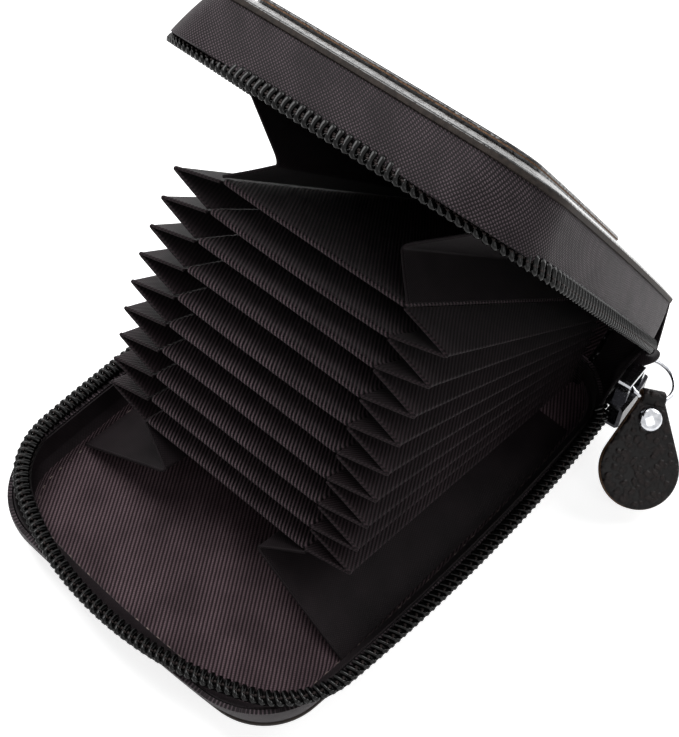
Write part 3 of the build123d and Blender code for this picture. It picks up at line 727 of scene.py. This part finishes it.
def dividerSheet(index):
    # Its section is a loop: out along the upper face, round the hem and back along the lower face.
    # It sags towards the front by sag * (1 - (x / half)^2) * (depth / length)^3.
    half, length, corner = stack["halfWidth"], stack["length"], divider["corner"]
    sag = divider["sag"] * rng.uniform(-0.4, 1.0)
    edge = np.array(divider["edge"])
    middle = np.linspace(-half + 0.8, half - 0.8, divider["columns"])
    x = np.concatenate([-half + edge, middle, half - edge[::-1]])
    beyond = np.clip(np.abs(x) - half + corner, 0, None)
    front = length - corner + np.sqrt(np.clip(corner ** 2 - beyond ** 2, 0, None))
    off = np.clip(np.abs(x) - half + divider["round"], 0, None) / divider["round"]
    pinch = np.sqrt(np.clip(1 - off ** 2, 0, 1))
    run = np.concatenate([[0, 12, 30, 50, 62, 70, 74, 76, 77], 77 + np.linspace(0.3, 1.5, 5)])
    nose = np.linspace(math.pi / 2, -math.pi / 2, 9)
    hemStart = length - divider["hemLength"] - divider["hemEase"]
    rise = np.clip((run - hemStart) / divider["hemEase"], 0, 1)
    thick = stack["thickness"] / 2 + divider["hem"] * rise
    tip = stack["thickness"] / 2 + divider["hem"]
    deep = np.concatenate([run, length - tip + tip * np.cos(nose), run[::-1], run[:1]]) / length
    high = np.concatenate([thick, tip * np.sin(nose), -thick[::-1], thick[:1]])
    depth = deep[:, None] * front
    bow = -sag * (1 - (x / half) ** 2) * (depth / length) ** 3
    points = leaned(dividers[index], np.broadcast_to(x, depth.shape), depth, high[:, None] * pinch + bow)
    uv = together(x, runAlong(np.stack([deep * length, high], -1))[:, None])
    number = f"{stack['count'] - index:02d}"
    makePiece("divider" + number, [(points, uv, 0)], [twillDivider], "divider_" + number,
              ["divider_" + number], sharp=70)


for index in range(stack["count"]):
    dividerSheet(index)
print("dividers made")

# Pleats and gussets: folded cloth webs with a rolled hem at the front and a soft crease
fold = {"rows": 30, "crease": 0.1, "bow": 0.22, "hem": 0.3, "thick": 0.26}


def foldLine(corners, count=9):
    # Two straight legs that meet in a small round crease, each leg bowed a little
    first, tip, last = np.asarray(corners, float)
    share = np.linspace(0, 1 - fold["crease"], count)[:, None]
    low = first + (tip - first) * share
    high = (last + (tip - last) * share)[::-1]
    t = np.linspace(0, 1, 7)[1:-1, None]
    crease = low[-1] * (1 - t) ** 2 + 2 * tip * t * (1 - t) + high[0] * t ** 2
    swell = fold["bow"] * np.sin(np.linspace(0, math.pi, count))[:, None]
    outward = tip - (first + last) / 2
    outward /= np.linalg.norm(outward)
    return np.concatenate([low + swell * outward * 0.5, crease, high + swell[::-1] * outward * 0.5])


def clothWeb(name, front, rear, place, node, material):
    # The cloth between a front and a rear fold line, with a hem rolled along the front one
    frontLine, rearLine = foldLine(front), foldLine(rear)
    share = np.linspace(0, 1, fold["rows"])[:, None, None]
    uv = together(runAlong(frontLine), share[:, 0] * np.linalg.norm(frontLine[0] - rearLine[0]))
    cloth = place(frontLine * (1 - share) + rearLine * share)
    piece = makePiece(name, [(cloth, uv, 0)], [material], sharp=70)
    thicken(piece, fold["thick"], 60)
    hem, hemUv = tube(place(frontLine), fold["hem"])
    hemPiece = makePiece(name + "Hem", [(hem, hemUv, 0)], [material], sharp=80)
    bpy.ops.object.select_all(action="DESELECT")
    hemPiece.select_set(True)
    piece.select_set(True)
    bpy.context.view_layer.objects.active = piece
    bpy.ops.object.join()
    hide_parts(node)
    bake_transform(piece)


pleat = {"gap": 0.12, "foldGap": 0.34, "front": 10.2, "rear": 6.0, "uneven": 0.03}


def pleatLine(side, low, high, width):
    # From the lower divider's edge out to the fold and back to the upper divider's edge
    root = np.array([side * (stack["halfWidth"] + pleat["gap"]), 0, 0])
    short = (high - low) / np.linalg.norm(high - low) * pleat["foldGap"]
    return low + root + short, (low + high) / 2 + root + np.array([side * width, 0, 0]), high + root - short


for index in range(stack["count"] - 1):
    number = stack["count"] - 1 - index
    pair = dividers[index:index + 2]
    front, rear = [[leaned(place, 0, deep, 0) for place in pair] for deep in (stack["length"], 0)]
    for side, word in sides:
        width = pleat["front"] * (1 + rng.uniform(-pleat["uneven"], pleat["uneven"]))
        clothWeb(f"pleat{word}{number:02d}", pleatLine(side, *front, width),
                 pleatLine(side, *rear, pleat["rear"]), asBuilt, f"pleat_{word.lower()}_{number:02d}",
                 shadedTwillWeb)
print("pleats made")

# A gusset's fold at the front is given as half width, how far back and how far down it lies
gusset = {"baseFold": (11.5, 3.2, 4.6), "topFold": (13.2, -2.0, 7.5), "hem": 34.2, "hemRise": 1.5,
          "hemForward": 4.5, "length": 0.86, "rearLift": 0.28, "topShare": 0.677}


def shutPlace(place):
    # The top divider's place as the cover sees it: swung shut with the cover and mirrored like a base piece
    y, z, slope = place
    turn = math.radians(shell["openAngle"])
    y, z = y - shell["foldY"], z - shell["foldZ"]
    return (shell["foldY"] + y * math.cos(turn) - z * math.sin(turn),
            shell["height"] - shell["foldZ"] - y * math.sin(turn) - z * math.cos(turn), turn - slope)


def gussetLines(side, place, foldShape):
    y, z, slope = place
    foldHalf, foldBack, foldDrop = foldShape
    front = leaned(place, 0, stack["length"], 0)
    drop = pleat["foldGap"] + stack["thickness"] / 2
    root = side * (stack["halfWidth"] + pleat["gap"])
    reach = stack["length"] * (1 - gusset["length"])
    rearY, rearZ = y - reach * math.cos(slope), z + reach * math.sin(slope) - drop
    low = shell["floor"] + gusset["rearLift"]
    ahead = [(root, front[1], front[2] - drop), (side * foldHalf, front[1] - foldBack, front[2] - foldDrop),
             (side * gusset["hem"], front[1] - gusset["hemForward"], shell["floor"] + gusset["hemRise"])]
    behind = [(root, rearY, rearZ), (side * foldHalf, rearY, (rearZ + low) / 2),
              (side * gusset["hem"], rearY, low)]
    return ahead, behind


for side, word in sides:
    ahead, behind = gussetLines(side, dividers[0], gusset["baseFold"])
    clothWeb(f"gussetBase{word}", ahead, behind, asBuilt, f"gusset_base_{word.lower()}",
             taffetaAndWallShade)
    ahead, behind = gussetLines(side, shutPlace(dividers[-1]), gusset["topFold"])
    # The inner edge follows the top divider, as it lies with the cover swung shut
    clothWeb(f"gussetCover{word}", ahead, behind, openCover, f"gusset_cover_{word.lower()}",
             taffetaAndWallShade)
print("gussets made")

# Hinge webs: folded cloth that closes each rear corner between the trays' tapes. Both lines are given as
# (x, y) in the shut case, and the webs bow inwards.
hingeWeb = {"base": [(36.9, 41.0), (36.2, 49.6), (33.8, 51.6), (27.4, 52.7)],
            "cover": [(38.2, 36.0), (37.4, 48.0), (33.0, 52.2), (27.4, 52.5)],
            "height": (10.6, 10.6, 0.7, 1.6), "bow": 1.0, "rows": 14, "columns": 16, "thick": 0.4,
            "uvLength": 14.0}


def evenly(corners, count):
    # A broken line's points at equal steps
    corners = np.array(corners, float)
    run = runAlong(corners)
    return together(*[np.interp(np.linspace(0, run[-1], count), run, part) for part in corners.T])


def hingeWebs(side, word):
    for part, span, start, end, flat, area in (
            ("Side", slice(0, 2), (0, 46.8, 10.6), (0, 47.47, 15.27), (0.015, 0.017), 0.00014),
            ("Rear", slice(1, 4), (0, 51.3, 10.6), (0, 61.5, 10.6), (0.022, 0.024), 0.00026)):
        low, high = [evenly(np.column_stack([hingeWeb[tray], hingeWeb["height"]])[span], hingeWeb["columns"])
                     for tray in ("base", "cover")]
        share = np.linspace(0, 1, hingeWeb["rows"])[:, None, None]
        points = low * (1 - share) + openCover(high) * share
        points[..., 0] -= hingeWeb["bow"] * np.sin(math.pi * share[..., 0])
        points[..., 0] *= side
        uv = together(runAlong(low), share[..., 0] * hingeWeb["uvLength"])
        piece = makePiece(f"hingeWeb{part}{word}", [(points, uv, 0)], [taffetaAndWallShade], None,
                          sharp=60)
        thicken(piece, hingeWeb["thick"], 60)
        start, end = [tuple(np.array(spot) * mm) for spot in (start, end)]
        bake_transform(piece)


for side, word in sides:
    hingeWebs(side, word)

# The cover's tape turns down past its last tooth into the slider, as one soft dark fold
tapeFold = {"path": [(40.4, 48.6, 26.2), (40.3, 50.9, 23.6), (39.3, 51.6, 21.4), (37.4, 51.2, 19.2),
                     (36.0, 50.0, 16.8), (35.9, 48.4, 14.6), (36.6, 47.0, 13.2)],
            "width": (0.9, 1.5, 1.7, 1.7, 1.5, 1.3, 0.9), "thick": 0.55, "face": (0.35, -0.75, 0.55),
            "rows": 60, "columns": 17, "easing": 30, "uvLength": 18.0}


def tapeFoldPiece():
    # An oval section along an eased path, pinched shut at both ends
    rows, columns = tapeFold["rows"], tapeFold["columns"]
    path = evenly(tapeFold["path"], rows)
    for _ in range(tapeFold["easing"]):
        path[1:-1] = (path[:-2] + 2 * path[1:-1] + path[2:]) / 4
    wide = np.interp(np.linspace(0, 1, rows), np.linspace(0, 1, len(tapeFold["width"])), tapeFold["width"])
    ahead = unit(np.gradient(path, axis=0))
    across = unit(np.cross(ahead, tapeFold["face"]))
    turn = fullTurn(columns - 1)
    ring = (np.cos(turn)[None, :, None] * across[:, None] * wide[:, None, None]
            + np.sin(turn)[None, :, None] * np.cross(ahead, across)[:, None] * tapeFold["thick"])
    ends = np.repeat(path[[0, -1], None], columns, 1)
    points = np.concatenate([ends[:1], path[:, None] + ring, ends[1:]])
    uv = together(np.linspace(0, tapeFold["uvLength"], rows + 2)[:, None], turn)
    piece = makePiece("tapeFold", [(points, uv, 0)], [taffetaAndWallShade], None, sharp=70)
    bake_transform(piece)


tapeFoldPiece()
print("hinge cloth made")

# Spine lining: a strip of twill up the inside of the spine
spineLining = {"half": 25.0, "low": 5.4, "high": 19.6, "back": 53.2, "thick": 0.3}


def spineLiningStrip():
    x = np.linspace(-spineLining["half"], spineLining["half"], 30)
    z = shell["height"] - np.linspace(spineLining["low"], spineLining["high"], 12)[:, None]
    points = together(x, spineLining["back"], z)
    piece = makePiece("spineLining", [(openCover(points), planar(points, 0, 2), 0)], [twillLining], None,
                      ["lining_spine"])
    thicken(piece, spineLining["thick"])
    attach(piece, "cover")


spineLiningStrip()

# Slip pocket on the cover: a patch with a dark cut edge, sewn on three sides and open towards the spine
pocket = {"inset": 7.0, "rear": 6.0, "low": 25.02 + panel["coverSwell"], "thick": 1.28, "round": 0.3,
          "slot": 0.45, "seam": 1.7, "seamSink": 0.14, "pitch": 3.0, "columns": 260, "edgeRing": 4}


def pocketPatch():
    base, edge = pocket["low"], pocket["round"]
    top = base + pocket["thick"]

    def arcsOf(inset):
        return panelArcs(pocket["inset"] + inset)

    rings = [(0, 3, base), (1, 1.5, base), (1, 0.05, base), (1, 0, base + 0.1), (1, 0, base + 0.55),
             (1, 0, base + 0.8), (1, 0, top - edge), (1, edge * 0.4, top - 0.08), (1, edge, top),
             (1, 1.2, top), (1, pocket["seam"], top - pocket["seamSink"]), (1, 2.3, top), (1, 4, top + 0.02),
             (0.6, 4, top + 0.02), (0, 4, top + 0.02)]
    points = discRings(arcsOf, rings, pocket["rear"], pocket["columns"])
    # The mouth at the rear stands off the leather
    mouth = np.where(points[3, :, 1] > pocket["rear"] - 0.4, pocket["slot"], 0)
    points[:4, :, 2] += mouth * (points[:4, :, 1] > 2)
    points[..., 2] = shell["height"] - points[..., 2]
    grids = skins(openCover, points, [int(ring == pocket["edgeRing"]) for ring in range(len(rings) - 1)])
    makePiece("coverPocket", grids, [pebbledLeather, cutEdge], "cover", ["pocket_cover"])
    arcs = arcsOf(pocket["seam"])
    spot, normal = alongArcs(arcs, np.arange(0, arcLengths(arcs).sum(), pocket["pitch"]))
    keep = spot[:, 1] < pocket["rear"] - 1.5
    spot, normal = spot[keep], normal[keep]
    seam("coverPocketStitch", openCover, atHeight(spot, shell["height"] - top + 0.06), normal,
         atHeight(normal * 0, 1.0), (2.2, 0.42, 0.36), nylonThread, "cover")


pocketPatch()
print("pocket made")

# Puller: a split ring through the slider's bridge, and a two-layer leather pull riveted round it
puller = {"hold": (39.2793, 46.4865, 17.4), "ringRadius": 4.9, "wire": 0.475, "ringTurn": 31.0,
          "ringDip": 6.0, "ringRoll": 11.0, "steps": 96, "sides": 16}
pull = {"length": 24.0, "width": 16.2, "neck": 4.8, "layer": 1.1, "eye": 1.8, "rise": 0.5, "bore": 0.8,
        "turn": 111.5, "dip": 37.5, "plan": 60.5, "rivetRadius": 2.5, "rivetHeight": 1.3, "fromRing": 3.7,
        "middle": (0.0, -13.5)}


def ringAxes():
    turn, dip, roll = [math.radians(puller[key]) for key in ("ringTurn", "ringDip", "ringRoll")]
    out = np.array([math.sin(turn) * math.cos(dip), math.cos(turn) * math.cos(dip), -math.sin(dip)])
    side = np.array([math.cos(turn), -math.sin(turn), 0])
    normal = np.cross(side, out) * math.cos(roll) + side * math.sin(roll)
    return out, normal, np.cross(normal, out)


ringOut, ringNormal, ringRun = ringAxes()
ringCentre = np.array(puller["hold"]) + ringOut * puller["ringRadius"]


def pullAxes():
    turn, slope, plan = [math.radians(pull[key]) for key in ("turn", "dip", "plan")]
    spot = ringCentre + (ringOut * math.cos(turn) - ringRun * math.sin(turn)) * puller["ringRadius"]
    across = ringOut * math.sin(turn) + ringRun * math.cos(turn)
    down = np.array([math.cos(slope) * math.cos(plan), -math.cos(slope) * math.sin(plan), -math.sin(slope)])
    down = down - across * np.dot(down, across)
    down /= np.linalg.norm(down)
    return spot, across, down, np.cross(across, -down)


pullSpot, pullAcross, pullDown, pullFace = pullAxes()


def onPull(points):
    # From the pull's own plane (across, towards the ring, out of its face) to the case
    return pullSpot + points[..., :1] * pullAcross - points[..., 1:2] * pullDown + points[..., 2:] * pullFace


def splitRing():
    turn = fullTurn(puller["steps"])[:-1, None]
    section = fullTurn(puller["sides"])[None, :, None]
    radial = np.cos(turn) * ringOut + np.sin(turn) * ringRun
    grid = ((ringCentre + puller["ringRadius"] * radial)[:, None]
            + puller["wire"] * (np.cos(section) * radial[:, None] + np.sin(section) * ringNormal))
    grid = np.concatenate([grid, grid[:1]])
    makePiece("splitRing", [(grid, np.zeros((*grid.shape[:2], 2)), 0)], [nickelPlate], "ring",
              ["pull_ring"], sharp=80)


splitRing()


def pullOutline(count, grow):
    # Teardrop: a round end with two tangent sides drawn up to the narrow neck
    roundEnd, neck, rise = pull["width"] / 2 + grow, pull["neck"] / 2 + grow, pull["rise"]
    centre = -(pull["length"] - rise - pull["eye"] - pull["width"] / 2)
    reach = math.asin((roundEnd - neck) / (rise - centre))
    arc = np.linspace(reach, -math.pi - reach, count)
    low = np.stack([roundEnd * np.cos(arc), centre + roundEnd * np.sin(arc)], -1)
    up = np.linspace(0, 1, count // 3)[:, None]
    right = np.array([neck, rise]) * (1 - up) + low[:1] * up
    left = low[-1:] * (1 - up) + np.array([-neck, rise]) * up
    top = together(np.linspace(-neck, neck, 12), rise)
    return np.concatenate([right, low[1:], left[1:], top[1:]])


def pullLayers():
    # Two layers face to face: a domed face, a rounded rim, a cut side with a dark line between the layers
    thick, middle = pull["layer"], np.array(pull["middle"])
    rings = [(0.0, 0, thick), (0.5, 0, thick), (0.85, 0, thick), (1, -0.9, thick - 0.03),
             (1, -0.35, thick - 0.12), (1, -0.08, thick - 0.34), (1, 0, thick - 0.55), (1, 0, 0.12),
             (1, -0.25, 0.0)]
    upper = np.array([atHeight(middle + (pullOutline(60, grow) - middle) * share, height)
                      for share, grow, height in rings])
    marks = [0, 0, 0, 0, 0, 1, 1, 1]
    grids = skins(onPull, upper, marks) + skins(onPull, upper[::-1] * [1, 1, -1], marks[::-1])
    # The eye is a short sleeve round the ring's wire, flared at both mouths
    half, eye = pull["neck"] / 2, pull["eye"]
    loop = [(-half, eye - 0.25), (-half + 0.25, eye), (half - 0.25, eye), (half, eye - 0.25),
            (half, eye - 0.4), (half - 0.5, 1.15), (0, pull["bore"]), (-half + 0.5, 1.15), (-half, eye - 0.4),
            (-half, eye - 0.25)]
    angle = fullTurn(32)
    for i in range(len(loop) - 1):
        across, radius = np.array(loop[i:i + 2]).T[..., None]
        sleeve = together(across, radius * np.sin(angle) + pull["rise"], radius * np.cos(angle))
        grids.append((onPull(sleeve), planar(sleeve), int(i > 2)))
    makePiece("pullTab", grids, [pullLeather, cutEdge], "pull", ["pull_leather"], sharp=50)


pullLayers()


def rivetCaps():
    # Domed caps on both faces, turned about the post
    radius, face, high = pull["rivetRadius"], pull["layer"], pull["rivetHeight"]
    lift = np.linspace(0, math.pi / 2, 9)
    dome = np.stack([radius * 0.96 * np.sin(lift), face + 0.3 + (high - 0.3) * np.cos(lift)], -1)
    outline = np.concatenate([dome, [(radius, face + 0.2), (radius, face + 0.02), (1.0, face - 0.02)]])
    wide, rise = np.concatenate([outline, (outline * [1, -1])[::-1]]).T[..., None]
    angle = fullTurn(48)
    points = together(wide * np.cos(angle), wide * np.sin(angle) - pull["fromRing"], rise)
    makePiece("rivet", [(onPull(points), planar(points), 0)], [nickelPlate], "pull",
              ["pull_rivet"], sharp=50)


rivetCaps()
print("puller made")

# CAD nodes that stay get their finish
kept = {"board_base": greyBoard, "board_cover": greyBoard, "slider_body": gunmetalSlider,
        "slider_bridge": nickelPlate}
for node, material in kept.items():
    piece = bpy.data.objects[node]
    piece.data.materials.clear()
    piece.data.materials.append(material)

# Plain pale floor and soft light. Camera and glossy rays see floor and surroundings white.
studio = {"floorSize": 3000.0, "floorDrop": 0.02, "floorGlow": 0.72, "floorColour": "#e6e6e6", "world": 0.22,
          "aim": (0, 0, 20),
          "lamps": {"key": {"place": (-260, 60, 520), "size": 380, "power": 3.2},
                    "fill": {"place": (460, -200, 420), "size": 420, "power": 0.9},
                    "rim": {"place": (160, 420, 330), "size": 300, "power": 1.2}}}


def seenDirectly(tree):
    path = addNode(tree, "LightPath")
    return addNode(tree, "Math", {0: path.outputs["Is Camera Ray"], 1: path.outputs["Is Glossy Ray"]},
                   operation="MAXIMUM")


floorMesh = bpy.data.meshes.new("floor")
reach, drop = studio["floorSize"] * mm / 2, -studio["floorDrop"] * mm
floorMesh.from_pydata([(-reach, -reach, drop), (reach, -reach, drop), (reach, reach, drop),
                       (-reach, reach, drop)], [], [(0, 1, 2, 3)])
floor = addObject("floor", floorMesh)
paper, paperTree, paperShader = startMaterial("paleFloor", Roughness=0.9, Specular_IOR_Level=0.1,
                                              Base_Color=linear(studio["floorColour"]))
glow = addNode(paperTree, "Emission", {"Color": (1, 1, 1, 1), "Strength": studio["floorGlow"]})
both = addNode(paperTree, "AddShader", {0: paperShader, 1: glow})
pick = addNode(paperTree, "MixShader", {0: seenDirectly(paperTree), 1: paperShader, 2: both})
paperTree.links.new(pick.outputs[0], paperTree.nodes["Material Output"].inputs["Surface"])
floorMesh.materials.append(paper)

world = bpy.data.worlds.new("studio")
world.use_nodes = True
bpy.context.scene.world = world
worldTree = world.node_tree
background = worldTree.nodes["Background"]
level = addNode(worldTree, "MapRange", {"Value": seenDirectly(worldTree), "To Min": studio["world"],
                                        "To Max": 1.0})
worldTree.links.new(level.outputs[0], background.inputs["Strength"])
background.inputs["Color"].default_value = (1, 1, 1, 1)
for name, lamp in studio["lamps"].items():
    data = bpy.data.lights.new(name, "AREA")
    data.shape = "SQUARE"
    data.size = lamp["size"] * mm
    data.energy = lamp["power"]
    light = addObject(name, data)
    place = Vector(lamp["place"]) * mm
    turned = (Vector(studio["aim"]) * mm - place).to_track_quat("-Z", "Y")
    light.matrix_world = Matrix.Translation(place) @ turned.to_matrix().to_4x4()
bpy.context.scene.view_settings.view_transform = "Standard"
print("studio set")
